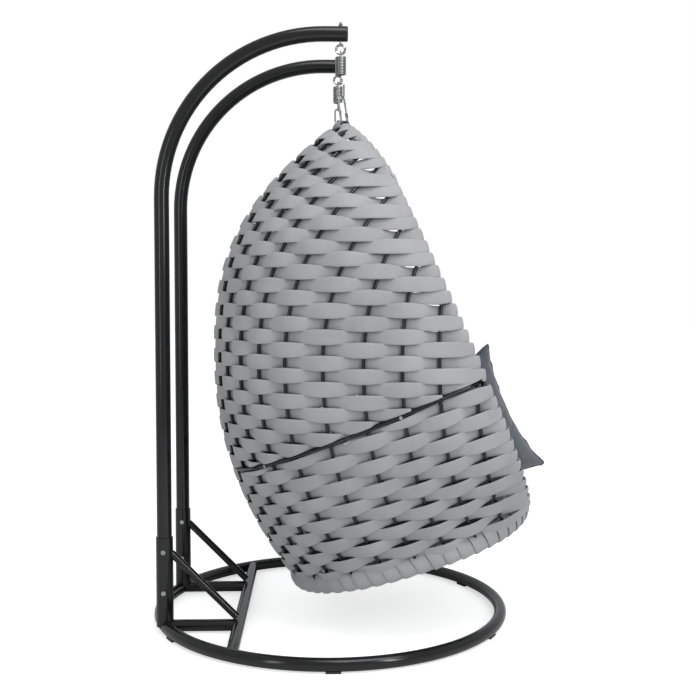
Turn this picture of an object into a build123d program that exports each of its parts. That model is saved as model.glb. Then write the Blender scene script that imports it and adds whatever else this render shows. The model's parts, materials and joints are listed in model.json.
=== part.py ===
from build123d import *
from math import asin, copysign, cos, hypot, pi, radians, sin, sqrt
import os

# Two-seat hanging egg chair: a welded tube stand with two curved arms carries a woven basket
# on two springs. Millimetres, +Z up, the open front faces -Y, the origin is on the floor under
# the middle of the overall depth. Distances "forward" are measured from the base ring's centre.

# Stand
RING_Y = 28.55  # base ring centre, behind the origin
RING_R = 584.0
RING_TUBE_R = 20.0
GLIDE_H = 3.0
ARM_X = 220.0  # half the distance between the two arms
POST_R = 24.0
POST_Z0 = 60.0
ARM_BEND_R = 520.0
ARM_AXIS_Z = 1924.0
ARM_TIP = 49.0
HOOK = 30.0  # hook station, forward of the ring's centre
SLEEVE_R = 27.5
SLEEVE_BORE_R = 24.4
SLEEVE_Z1 = 314.0
CROSS_BAR_BACK = 303.0
STUB_R = 19.0
BRACE_R = 12.0
BOLT_R = 4.0

# Hanging gear, one set each side
EYE_R = 14.0
EYE_WIRE_R = 4.0
EYE_Z = 1875.0
HOOK_WIRE_R = 2.5
SWING_Z = 1868.0
SPRING_R = 15.5
SPRING_Z1 = 1854.0
SPRING_TURNS = 12
SPRING_PITCH = 5.2
COIL_SIDES = 10
COIL_WIRE_R = 2.2
LINK_WIRE_R = 2.75
LINK_R = 10.25
LINK_LENGTH = 56.0
SNAP_WIRE_R = 3.25
SNAP_R = 14.75
SNAP_LENGTH = 96.0
LOOP_WIRE_R = 4.0
LOOP_HALF = 11.5
GATE_R = 2.6

# Basket shell: sections are super-ellipses between the back profile and the front rim line
BACK_S, BACK_Z = -382.0, 900.0
CREST_S, CREST_Z = 20.0, 1645.0
LOW_S, LOW_Z = -118.0, 145.0
RIM_S, RIM_Z, RIM_SLOPE = 205.0, 1374.0, 0.445
LOW_RISE = 235.0
WIDE, WIDE_Z, WIDE_LOW = 560.0, 880.0, 400.0
SECTION_POWER = 2.3
SPLIT_S, SPLIT_Z, SPLIT_SLOPE = -317.0, 525.0, 0.42

# Basket members
RIB_OFFSETS = (2.0, 20.0, 52.0, 100.0, 160.0, 240.0, 352.0, 470.0, 582.0, 692.0, 805.0)
RIB_R = 5.5
RIM_R = 8.0
STRAP_T = 3.0
STRAP_H = 34.0
STRAP_GAP = 1.4
ROW_PITCH = 38.0
SEAT_GAP = 0.3  # between pieces that bear on each other
SPLIT_TUBE_R = 5.0
SPLIT_BOLT_R = 2.5
CLEAR_OF_SPLIT = 16.0
CREST_CLEAR = 70.0
CROWDED_Z = 1340.0  # above this the ribs crowd together and notch the straps
SHORTEST_RIB = 80.0
RIB_END_CLEAR = 1.0
END_RUN = 30.0  # shortest run of a strap beyond its last rib
FLOOR_BARS = (80.0, 265.0, 450.0)
FLOOR_STRAPS = 7
FLOOR_STRAP_PITCH = 90.0
FLOOR_STRAP_W = 43.0

# Cushions
SEAT_S, SEAT_HALF_X, SEAT_HALF_Y = 262.0, 352.0, 366.0
SEAT_LIFT, SEAT_T, SEAT_EDGE = 16.0, 110.0, 26.0
BACK_GAP = 28.0
# Back cushion sections: height at the back, slope, forward reach of the arms, thickness
BACK_CUSHION = (
    (330.0, 0.307, 230.0, 60.0), (420.0, 0.2, 300.0, 95.0), (640.0, 0.1, 330.0, 100.0),
    (900.0, 0.0, 330.0, 95.0), (1080.0, 0.0, 300.0, 80.0), (1150.0, 0.0, 260.0, 45.0))
PILLOW_X, PILLOW_CENTRE = 368.0, (375.0, 665.0)
PILLOW_YAW, PILLOW_TIP = 12.0, 27.0  # degrees its front turns in, and its front edge leans
PILLOW_SIZE, PILLOW_T = 425.0, 120.0


# ---- basket surface ---------------------------------------------------------------------

def low_share(z):
    return min(max((BACK_Z - z) / (BACK_Z - LOW_Z), 0.0), 1.2)


def back(z):
    """Forward station of the back profile at height z."""
    if z > BACK_Z:
        return BACK_S + (CREST_S - BACK_S) * min((z - BACK_Z) / (CREST_Z - BACK_Z), 1.0) ** 2.65
    return BACK_S + (LOW_S - BACK_S) * low_share(z) ** 2.2


def rim(z):
    """Forward station of the front rim at height z: a straight lean, drawn back at the top."""
    return RIM_S - RIM_SLOPE * (z - RIM_Z) - 0.00119 * max(z - 1420.0, 0.0) ** 2


def rise(z):
    """How much higher a section meets the rim than it meets the back profile."""
    return LOW_RISE * low_share(z) ** 1.5


def centre_share(z):
    return 0.68 - 0.175 * low_share(z) ** 1.3


def half_width(z):
    if z > WIDE_Z:
        return WIDE * (1 - min((z - WIDE_Z) / (CREST_Z - WIDE_Z), 0.99999) ** 2) ** 0.2866
    return WIDE - (WIDE - WIDE_LOW) * min((WIDE_Z - z) / (WIDE_Z - LOW_Z), 1.1) ** 2


def section_of(s, z):
    """The section height, on the back profile, of the section through side-view point s, z."""
    h = z
    for _ in range(14):
        h = z - rise(h) * (s - back(h)) / (rim(h + rise(h)) - back(h))
    return h


def level(x, s, z):
    """Zero on the basket's surface, negative inside it."""
    h = section_of(s, z)
    b, f, k = back(h), rim(h + rise(h)), centre_share(h)
    along = ((s - b) / (f - b) - k) / k
    return abs(along) ** SECTION_POWER + abs(x / half_width(h)) ** SECTION_POWER - 1


def width_at(s, z):
    """Half width of the basket at side-view point s, z."""
    h = section_of(s, z)
    b, f, k = back(h), rim(h + rise(h)), centre_share(h)
    along = min(abs(((s - b) / (f - b) - k) / k), 1.0)
    return half_width(h) * (1 - along**SECTION_POWER) ** (1 / SECTION_POWER)


def normal(x, s, z):
    """Outward unit normal of the surface as (x, forward, up)."""
    e = 0.5
    x = x if abs(x) > 2 * e else copysign(2 * e, x)
    g = (
        level(x + e, s, z) - level(x - e, s, z),
        level(x, s + e, z) - level(x, s - e, z),
        level(x, s, z + e) - level(x, s, z - e),
    )
    size = sqrt(sum(c * c for c in g))
    return tuple(c / size for c in g)


def rib_station(offset, z):
    """Ribs follow the back profile at a fixed distance, and fan out a little towards the top."""
    fan = 0.28 * max(z - BACK_Z, 0.0) ** 1.5 / 400.0**1.5 * max(0.0, 1 - offset / 700.0)
    return back(z) + offset * (1 + fan)


LOWER_SLOPE = LOW_RISE / (rim(LOW_Z + LOW_RISE) - LOW_S)  # of the floor and the lower rows


def split_z(s):
    return SPLIT_Z + SPLIT_SLOPE * (s - SPLIT_S)


def bottom_z(s):
    return LOW_Z + LOWER_SLOPE * (s - LOW_S)


def place(x, s, z):
    """Row-frame point from lateral, forward and up."""
    return (x, RING_Y - s, z)


def rim_height(x):
    """Height at which the rim's upper part is x from the middle."""
    low, high = WIDE_Z, CREST_Z - 0.01
    for _ in range(50):
        mid = (low + high) / 2
        if width_at(rim(mid), mid) > x:
            low = mid
        else:
            high = mid
    return low


# ---- stand ------------------------------------------------------------------------------

RING_Z = GLIDE_H + RING_TUBE_R
ARM_Y = RING_Y + sqrt(RING_R**2 - ARM_X**2)
SIDES = {"left": -1, "right": 1}
nodes = {}


def keep(piece, label):
    """Names a finished piece and keeps it for export."""
    piece.label = label
    nodes[label] = piece


with BuildPart() as base_ring:
    with BuildSketch(Plane.XZ.offset(-RING_Y)):
        with Locations((RING_R, RING_Z)):
            Circle(RING_TUBE_R)
    revolve(axis=Axis((0, RING_Y, 0), (0, 0, 1)))
keep(base_ring.part, "base_ring")

bar_y = RING_Y + CROSS_BAR_BACK
bar_half = sqrt(RING_R**2 - CROSS_BAR_BACK**2)
with BuildPart() as cross_bar:
    with BuildSketch(Plane.YZ.offset(-bar_half)):
        with Locations((bar_y, RING_Z)):
            Circle(STUB_R)
    extrude(amount=2 * bar_half)
    add(base_ring.part, mode=Mode.SUBTRACT)
cross_bar_part = cross_bar.part.solids().sort_by(SortBy.VOLUME)[-1]
keep(Part(cross_bar_part.wrapped), "cross_bar")

glides = []
for turn in range(6):
    with BuildPart() as glide:
        with BuildSketch(Plane.XY):
            with Locations((0, RING_Y)):
                with PolarLocations(RING_R, 1, start_angle=60 * turn):
                    Rectangle(26, 46)
        extrude(amount=GLIDE_H + 4)
        add(base_ring.part, mode=Mode.SUBTRACT)
    glides.append(glide.part)
keep(Compound(children=glides), "floor_glides")

for side, sign in SIDES.items():
    x = sign * ARM_X
    with BuildPart() as stub:
        with BuildSketch(Plane.XZ.offset(-bar_y)):
            with Locations((x, RING_Z)):
                Circle(STUB_R)
        extrude(amount=-(ARM_Y - bar_y))
        add(base_ring.part, mode=Mode.SUBTRACT)
        add(cross_bar.part, mode=Mode.SUBTRACT)
    stub_solid = stub.part.solids().sort_by(SortBy.VOLUME)[-1]
    keep(Part(stub_solid.wrapped), f"{side}_stub_tube")

    with BuildPart() as sleeve:
        with BuildSketch(Plane.XY.offset(RING_Z)):
            with Locations((x, ARM_Y)):
                Circle(SLEEVE_R)
        extrude(amount=SLEEVE_Z1 - RING_Z)
        with BuildSketch(Plane.XY.offset(POST_Z0)):
            with Locations((x, ARM_Y)):
                Circle(SLEEVE_BORE_R)
        extrude(amount=SLEEVE_Z1 - POST_Z0, mode=Mode.SUBTRACT)
        with BuildSketch(Plane.YZ.offset(x - 60)):
            with Locations((ARM_Y, 137), (ARM_Y, 270)):
                Circle(BOLT_R + 0.3)
        extrude(amount=120, mode=Mode.SUBTRACT)
        add(base_ring.part, mode=Mode.SUBTRACT)
        add(stub_solid, mode=Mode.SUBTRACT)
    keep(Part(sleeve.part.solids().sort_by(SortBy.VOLUME)[-1].wrapped), f"{side}_socket")

    bend_z = ARM_AXIS_Z - ARM_BEND_R
    with BuildPart() as post:
        with BuildLine() as route:
            Line((x, ARM_Y, POST_Z0 + 0.5), (x, ARM_Y, bend_z))
            ThreePointArc(
                (x, ARM_Y, bend_z),
                (x, ARM_Y - ARM_BEND_R * (1 - cos(pi / 4)), bend_z + ARM_BEND_R * sin(pi / 4)),
                (x, ARM_Y - ARM_BEND_R, ARM_AXIS_Z),
            )
            Line((x, ARM_Y - ARM_BEND_R, ARM_AXIS_Z), (x, RING_Y - ARM_TIP, ARM_AXIS_Z))
        with BuildSketch(Plane.XY.offset(POST_Z0 + 0.5)):
            with Locations((x, ARM_Y)):
                Circle(POST_R)
        sweep()
        with BuildSketch(Plane.YZ.offset(x - 60)):
            with Locations((ARM_Y, 137), (ARM_Y, 270)):
                Circle(BOLT_R + 0.3)
        extrude(amount=120, mode=Mode.SUBTRACT)
        with BuildSketch(Plane.XY.offset(ARM_AXIS_Z - 60)):
            with Locations((x, RING_Y - HOOK)):
                Circle(BOLT_R + 0.3)
        extrude(amount=120, mode=Mode.SUBTRACT)
    keep(post.part, f"{side}_arm")

    with BuildPart() as cap:
        with BuildSketch(Plane.XZ.offset(-(RING_Y - ARM_TIP))):
            with Locations((x, ARM_AXIS_Z)):
                Circle(POST_R)
        extrude(amount=4)
        chamfer(cap.edges().group_by(Axis.Y)[0], 2.5)
    keep(cap.part, f"{side}_arm_cap")

    brace_top = Vector(x, ARM_Y - SLEEVE_R + 6, 262)
    brace_foot = Vector(x, bar_y + 6, RING_Z + STUB_R + 8)
    with BuildPart() as brace:
        with BuildSketch(Plane(origin=brace_foot, x_dir=(1, 0, 0), z_dir=brace_top - brace_foot)):
            Circle(BRACE_R)
        extrude(amount=(brace_top - brace_foot).length)
        with BuildSketch(Plane.XY.offset(RING_Z)):
            with Locations((x, ARM_Y)):
                Circle(SLEEVE_R)
        extrude(amount=SLEEVE_Z1, mode=Mode.SUBTRACT)
        with BuildSketch(Plane.XZ.offset(-bar_y + 60)):
            with Locations((x, RING_Z)):
                Circle(STUB_R)
        extrude(amount=-200, mode=Mode.SUBTRACT)
    keep(Part(brace.part.solids().sort_by(SortBy.VOLUME)[-1].wrapped), f"{side}_brace")

    bolts = []
    for z in (137, 270):
        with BuildPart() as bolt:
            with BuildSketch(Plane.YZ.offset(x - SLEEVE_R - 0.2)):
                with Locations((ARM_Y, z)):
                    Circle(BOLT_R)
            extrude(amount=2 * SLEEVE_R + 0.4)
            with BuildSketch(Plane.YZ.offset(x + sign * (SLEEVE_R + 0.2))):
                with Locations((ARM_Y, z)):
                    Circle(7.5)
            extrude(amount=sign * 4.5)
            with BuildSketch(Plane.YZ.offset(x - sign * (SLEEVE_R + 0.2))):
                with Locations((ARM_Y, z)):
                    RegularPolygon(7.5, 6)
            extrude(amount=-sign * 6)
        bolts.append(bolt.part)
    keep(Compound(children=bolts), f"{side}_socket_bolts")


# ---- hanging gear -----------------------------------------------------------------------

def tube(points, radius, sides=10):
    """A bent tube: straight runs with mitred bends round a many-sided section."""
    with BuildPart() as bent:
        with BuildLine():
            path = Polyline(*points)
        with BuildSketch(Plane(origin=path @ 0, z_dir=path % 0)):
            RegularPolygon(radius, sides)
        sweep(transition=Transition.RIGHT)
    return bent.part


def oval_ring(plane, radius, length, wire_r):
    """A closed oval of round wire: two half turns joined by straight sides."""
    rise_half = length / 2 - wire_r - radius
    with BuildPart() as ring:
        with BuildLine(plane):
            Line((-radius, -rise_half), (-radius, rise_half))
            ThreePointArc((-radius, rise_half), (0, rise_half + radius), (radius, rise_half))
            Line((radius, rise_half), (radius, -rise_half))
            ThreePointArc((radius, -rise_half), (0, -rise_half - radius), (-radius, -rise_half))
        start = plane.from_local_coords(Vector(-radius, -rise_half, 0))
        with BuildSketch(Plane(origin=start, x_dir=plane.z_dir, z_dir=plane.y_dir)):
            RegularPolygon(wire_r, 8)
        sweep(transition=Transition.RIGHT)
    return ring.part


hook_y = RING_Y - HOOK
spring_z0 = SPRING_Z1 - SPRING_TURNS * SPRING_PITCH
lower_hook_z = spring_z0 - 26
link_top = lower_hook_z + HOOK_WIRE_R + LINK_WIRE_R + 0.3
link_mid = link_top + LINK_WIRE_R - LINK_LENGTH / 2
link_foot = link_top - LINK_LENGTH + 2 * LINK_WIRE_R
snap_top = link_foot + LINK_WIRE_R + SNAP_WIRE_R + 1.3
snap_span = SNAP_LENGTH - 2 * SNAP_WIRE_R
hang_rim_z = rim_height(ARM_X)
hang = rim(hang_rim_z)
lean = asin((hang - HOOK) / snap_span)
hang_y = RING_Y - hang
hang_z = snap_top - snap_span * cos(lean)
gate_z0, gate_z1 = -17.0, 15.5
gate_pin = -13.0

for side, sign in SIDES.items():
    x = sign * ARM_X
    with BuildPart() as eye_bolt:
        with BuildSketch(Plane(origin=(x, hook_y + EYE_R, EYE_Z), x_dir=(1, 0, 0), z_dir=(0, 0, 1))):
            RegularPolygon(EYE_WIRE_R, 8)
        revolve(axis=Axis((x, hook_y, EYE_Z), (1, 0, 0)))
        with BuildSketch(Plane.XY.offset(EYE_Z + EYE_R - 1)):
            with Locations((x, hook_y)):
                Circle(BOLT_R - 0.1)
        extrude(amount=ARM_AXIS_Z + POST_R + 13 - EYE_Z - EYE_R)
    keep(eye_bolt.part, f"{side}_eye_bolt")

    with BuildPart() as nut:
        with BuildSketch(Plane.XY.offset(ARM_AXIS_Z + POST_R + 0.2)):
            with Locations((x, hook_y)):
                RegularPolygon(7.5, 6)
                Circle(BOLT_R + 0.1, mode=Mode.SUBTRACT)
        extrude(amount=6.5)
    keep(nut.part, f"{side}_eye_nut")

    coil_points = []
    coil_rise = (SPRING_Z1 - spring_z0 - 2 * HOOK_WIRE_R) / (2 * pi * SPRING_TURNS)
    for step in range(SPRING_TURNS * COIL_SIDES + 1):
        turn = 2 * pi * step / COIL_SIDES
        coil_points.append((
            x + SPRING_R * cos(turn), hook_y + SPRING_R * sin(turn),
            spring_z0 + HOOK_WIRE_R + coil_rise * turn))
    coil = tube(coil_points, COIL_WIRE_R, 5)
    top_hook = oval_ring(
        Plane(origin=(x, hook_y, (SWING_Z + SPRING_Z1) / 2 - 4), x_dir=(1, 0, 0), z_dir=(0, -1, 0)),
        9.5, SWING_Z - SPRING_Z1 + 2 * HOOK_WIRE_R + 8, HOOK_WIRE_R)
    foot_hook = oval_ring(
        Plane(origin=(x, hook_y, (lower_hook_z + spring_z0) / 2 + 3), x_dir=(1, 0, 0), z_dir=(0, -1, 0)),
        9.5, spring_z0 - lower_hook_z + 2 * HOOK_WIRE_R + 6, HOOK_WIRE_R)
    keep(Compound(children=[coil, top_hook, foot_hook]), f"{side}_spring")

    link = oval_ring(
        Plane(origin=(x, hook_y, link_mid), x_dir=(0, 1, 0), z_dir=(1, 0, 0)),
        LINK_R, LINK_LENGTH, LINK_WIRE_R)
    keep(link, f"{side}_chain_link")

    # The snap hook hangs a little forward and stands at 45 degrees to the link
    snap_foot, snap_head = Vector(x, hang_y, hang_z), Vector(x, hook_y, snap_top)
    up = (snap_head - snap_foot).normalized()
    across = Vector(sign, 1, 0)
    across = (across - up * across.dot(up)).normalized()
    snap_plane = Plane(origin=(snap_head + snap_foot) * 0.5, x_dir=across, z_dir=across.cross(up))
    half = snap_span / 2 - SNAP_R
    with BuildPart() as snap:
        with BuildLine(snap_plane):
            Line((-SNAP_R, gate_z0 - 1.5), (-SNAP_R, -half))
            ThreePointArc((-SNAP_R, -half), (0, -half - SNAP_R), (SNAP_R, -half))
            Line((SNAP_R, -half), (SNAP_R, half))
            ThreePointArc((SNAP_R, half), (0, half + SNAP_R), (-SNAP_R, half))
            Line((-SNAP_R, half), (-SNAP_R, gate_z1 + 0.5))
        start = snap_plane.from_local_coords(Vector(-SNAP_R, gate_z0 - 1.5, 0))
        with BuildSketch(Plane(origin=start, x_dir=snap_plane.x_dir, z_dir=-snap_plane.y_dir)):
            RegularPolygon(SNAP_WIRE_R, 8)
        sweep(transition=Transition.RIGHT)
        for face in (-1, 1):
            with BuildSketch(snap_plane.offset(face * 2.8)):
                with Locations((-SNAP_R, gate_pin - 3)):
                    Rectangle(5, 14)
                with Locations((-SNAP_R, gate_pin)):
                    Circle(1.3, mode=Mode.SUBTRACT)
            extrude(amount=face * 1.2)
    keep(snap.part, f"{side}_snap_hook")

    with BuildPart() as gate:
        foot = snap_plane.from_local_coords(Vector(-SNAP_R, gate_z0, 0))
        with BuildSketch(Plane(origin=foot, x_dir=snap_plane.x_dir, z_dir=snap_plane.y_dir)):
            RegularPolygon(GATE_R, 8)
        extrude(amount=gate_z1 - gate_z0)
        with BuildSketch(snap_plane.offset(-4.2)):
            with Locations((-SNAP_R, gate_pin)):
                Circle(1.2)
        extrude(amount=8.4)
    keep(gate.part, f"{side}_snap_gate")
    pin = snap_plane.from_local_coords(Vector(-SNAP_R, gate_pin, 0))
    print(side, "gate pin", pin, "axis", snap_plane.z_dir)
print("basket pivot", hang_y, hang_z, "hook", hook_y, "ring", RING_Y)


# ---- basket frame -----------------------------------------------------------------------

def cut_point(points, line):
    """Where the side-view line z = a + m*s cuts a member's bend points, as (x, forward, up)."""
    gaps = [z - line[0] - line[1] * s for x, s, z in points]
    last = len(points) - 2
    index = next((k for k in range(last + 1) if gaps[k] * gaps[k + 1] <= 0), 0 if gaps[0] > 0 else last)
    if abs(gaps[0]) < abs(gaps[-1]) and gaps[0] * gaps[-1] > 0:
        index = 0
    share = gaps[index] / (gaps[index] - gaps[index + 1])
    return tuple(p + (q - p) * share for p, q in zip(points[index], points[index + 1]))


def cut_by(piece, *tools):
    """The largest solid of a piece after its neighbours are taken away."""
    with BuildPart() as trimmed:
        add(piece)
        add(tools, mode=Mode.SUBTRACT)
    return trimmed.part.solids().sort_by(SortBy.VOLUME)[-1]


split_rim_z = 600.0
for _ in range(40):
    split_rim_z = split_z(rim(split_rim_z))

# Bend points of the front rim's right half, as (x, forward, up)
rim_line = [(0.0, rim(CREST_Z), CREST_Z)]
for x in (55, 110, 165, 220, 270, 315, 355, 390):
    z = rim_height(x)
    rim_line.append((x, rim(z), z))
shoulder_z = rim_line[-1][2]
for step in range(1, 10):
    z = shoulder_z + (split_rim_z - shoulder_z) * step / 9
    rim_line.append((width_at(rim(z), z), rim(z), z))
upper_path = [place(-x, s, z) for x, s, z in reversed(rim_line[1:])]
upper_path += [place(x, s, z) for x, s, z in rim_line[1:]]
upper_rim_part = tube(upper_path, RIM_R)

# Half of the bottom ring from the middle of the back to the middle of the front, then mirrored
floor_share = centre_share(LOW_Z)
floor_line = []
for step in range(14):
    turn = 2 * pi * (step + 0.5) / 28
    share = floor_share * (1 - cos(turn))
    s = LOW_S + share * (rim(LOW_Z + LOW_RISE) - LOW_S)
    x = WIDE_LOW * (1 - abs(cos(turn)) ** SECTION_POWER) ** (1 / SECTION_POWER)
    floor_line.append((x, s, LOW_Z + share * LOW_RISE))
half_path = [(0.0, *floor_line[0][1:])] + floor_line + [(0.0, *floor_line[-1][1:])]
half_ring = tube([place(*p) for p in half_path], RIM_R)
with BuildPart() as bottom_ring:
    add(half_ring)
    add(half_ring.mirror(Plane.YZ))
keep(bottom_ring.part, "bottom_ring")


low_section = section_of(rim(split_rim_z), split_rim_z)
lower_rim_line = []
for share in (0.0, 0.15, 0.3, 0.45, 0.6, 0.72, 0.83, 0.92, 1.0):
    h = low_section + (LOW_Z - low_section) * share
    k = centre_share(h)
    x = half_width(h) * (1 - ((1 - k) / k) ** SECTION_POWER) ** (1 / SECTION_POWER)
    lower_rim_line.append((x, rim(h + rise(h)), h + rise(h)))
top, second = (Vector(*p) for p in lower_rim_line[:2])
lower_rim_line[0] = tuple(top + (second - top).normalized() * 10 * SEAT_GAP)
lower_rims = []
for sign in (-1, 1):
    rail = tube([place(sign * x, s, z) for x, s, z in lower_rim_line], RIM_R)
    lower_rims.append(cut_by(rail, bottom_ring.part))
keep(Compound(children=lower_rims), "lower_rims")

# The two halves are bolted together through a pair of tubes, side by side along the split
split_line = []
split_span = rim(split_rim_z) - SPLIT_S
for step in range(15):
    s = SPLIT_S + 1 + (split_span - 1) * (step / 14) ** 2
    split_line.append((width_at(s, split_z(s)), s, split_z(s)))
split_line[0] = (0.0, *split_line[0][1:])


def beside(point, out):
    """A point moved out from the surface along its normal."""
    return tuple(c + out * n for c, n in zip(point, normal(*point)))


bolt_frames = []
for index in (0, 5, 11):
    for sign in (1, -1) if index else (1,):
        a, b = split_line[index], split_line[index + 1]
        mid = tuple((p + q) / 2 for p, q in zip(a, b)) if index else a
        n = normal(*mid) if index else (0.0, *normal(*mid)[1:])
        out = Vector(sign * n[0], -n[1], n[2]).normalized()
        bolt_frames.append(Plane(origin=place(sign * mid[0], *mid[1:]), z_dir=out))
joint_bolts = []
for frame in bolt_frames:
    with BuildPart() as bolt:
        with BuildSketch(frame.offset(-4 * SPLIT_TUBE_R - 2)):
            Circle(SPLIT_BOLT_R)
        extrude(amount=4 * SPLIT_TUBE_R + 2 + 2 * SPLIT_TUBE_R + 1)
        with BuildSketch(frame.offset(2 * SPLIT_TUBE_R + 0.6)):
            Circle(SPLIT_BOLT_R + 2.5)
        extrude(amount=3.5)
        with BuildSketch(frame.offset(-2 * SPLIT_TUBE_R - 0.6)):
            RegularPolygon(SPLIT_BOLT_R + 2.5, 6)
        extrude(amount=-5)
    joint_bolts.append(bolt.part)
keep(Compound(children=joint_bolts), "joint_bolts")

joint_tubes = {}
for name, out in (("upper_joint_tube", 1), ("lower_joint_tube", -1)):
    half_line = [beside(p, out * (SPLIT_TUBE_R + 0.15)) for p in split_line]
    half_line[0] = (0.0, *half_line[0][1:])
    path = [place(-x, s, z) for x, s, z in reversed(half_line)] + [place(*p) for p in half_line[1:]]
    with BuildPart() as joint_tube:
        add(tube(path, SPLIT_TUBE_R, 8))
        for frame in bolt_frames:
            with BuildSketch(frame.offset(-30)):
                Circle(SPLIT_BOLT_R + 0.2)
            extrude(amount=60, mode=Mode.SUBTRACT)
    joint_tubes[name] = cut_by(joint_tube.part, upper_rim_part, *lower_rims)
    keep(joint_tubes[name], name)

rib_lines = {"upper_ribs": {}, "lower_ribs": {}}
rib_parts = {}
for offset in RIB_OFFSETS:
    z_split, z_low = SPLIT_Z, LOW_Z
    for _ in range(40):
        z_split = split_z(rib_station(offset, z_split))
        z_low = bottom_z(rib_station(offset, z_low))
    low, high = z_split, CREST_Z
    for _ in range(40):
        mid = (low + high) / 2
        if rib_station(offset, mid) > rim(mid):
            high = mid
        else:
            low = mid
    upper_start, lower_end = z_split + RIB_END_CLEAR, z_split - RIB_END_CLEAR
    for name, z0, z1, count in (
            ("upper_ribs", upper_start, low, 10), ("lower_ribs", z_low, lower_end, 5)):
        if z1 - z0 < SHORTEST_RIB:
            continue
        points = []
        for step in range(count + 1):
            share = step / count
            h = z0 + (z1 - z0) * (1 - (1 - share) ** 1.35 if name == "upper_ribs" else share)
            s = rib_station(offset, h)
            points.append((width_at(s, h), s, h))
        rib_lines[name][offset] = points
for name, lines in rib_lines.items():
    stops = [upper_rim_part] if name == "upper_ribs" else [bottom_ring.part, *lower_rims]
    stops += list(joint_tubes.values())
    group = []
    for points in lines.values():
        for sign in (-1, 1):
            rib = tube([place(sign * x, s, z) for x, s, z in points], RIB_R, 6)
            group.append(cut_by(rib, *stops))
    keep(Compound(children=group), name)
    rib_parts[name] = group

# Welded loops that the snap hooks hold
loop_top = hang_z + SNAP_WIRE_R + LOOP_WIRE_R + 3 * SEAT_GAP
hang_loops = []
for sign in SIDES.values():
    x, foot_z = sign * ARM_X, hang_rim_z - 4
    with BuildPart() as hang_loop:
        with BuildLine():
            path = FilletPolyline(
                (x, hang_y - LOOP_HALF, foot_z), (x, hang_y - LOOP_HALF, loop_top),
                (x, hang_y + LOOP_HALF, loop_top), (x, hang_y + LOOP_HALF, foot_z), radius=8)
        with BuildSketch(Plane(origin=path @ 0, z_dir=path % 0)):
            RegularPolygon(LOOP_WIRE_R, 8)
        sweep()
    hang_loops.append(cut_by(hang_loop.part, upper_rim_part))
keep(Compound(children=hang_loops), "hang_loops")
keep(upper_rim_part, "upper_rim")

floor_lean = hypot(1, LOWER_SLOPE)
floor_bars = []
for s in FLOOR_BARS:
    with BuildPart() as floor_bar:
        with BuildSketch(Plane(origin=place(-WIDE_LOW, s, bottom_z(s)), z_dir=(1, 0, 0))):
            RegularPolygon(RIB_R + 0.5, 8)
        extrude(amount=2 * WIDE_LOW)
        add(bottom_ring.part, mode=Mode.SUBTRACT)
    floor_bars.append(Part(floor_bar.part.solids().sort_by(SortBy.VOLUME)[-1].wrapped))
keep(Compound(children=floor_bars), "floor_bars")


# ---- weave ------------------------------------------------------------------------------

def strap_edge(line, course):
    """Outline of a strap's edge in its plane, from stations (side, x, forward, up, swing)."""
    outer, inner = [], []
    for side, x, s, z, swing in course:
        n = normal(x, s, z)
        flat = hypot(n[0], n[1])
        for edge, shift in ((outer, STRAP_T / 2), (inner, -STRAP_T / 2)):
            move = (swing + shift) / flat
            px, ps = side * (x + move * n[0] / flat), s + move * n[1] / flat
            edge.append(place(px, ps, line[0] + line[1] * ps))
    return outer + inner[::-1]


def strap(lines, courses):
    """One strap row, ruled between its lower and upper edges."""
    with BuildPart() as row:
        for line, course in zip(lines, courses):
            plane = Plane(
                origin=place(0, 0, line[0]), x_dir=(1, 0, 0), z_dir=Vector(0, line[1], 1).normalized())
            flat = [plane.to_local_coords(Vector(*p)) for p in strap_edge(line, course)]
            with BuildSketch(plane):
                with BuildLine():
                    Polyline(*[(v.X, v.Y) for v in flat], close=True)
                make_face()
        loft(ruled=True)
    return row.part


def rim_end(edge_line, line, inner_point):
    """Where a strap coming from inner_point stops against the side of the rim."""
    at_rim = Vector(*cut_point(edge_line, line))
    after = next((k for k, p in enumerate(edge_line) if p[2] < at_rim.Z), len(edge_line) - 1)
    along = (Vector(*edge_line[after]) - Vector(*edge_line[after - 1])).normalized()
    run = (at_rim - Vector(*inner_point)).normalized()
    return tuple(at_rim - run * ((RIM_R + STRAP_T) / run.cross(along).length))


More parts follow.
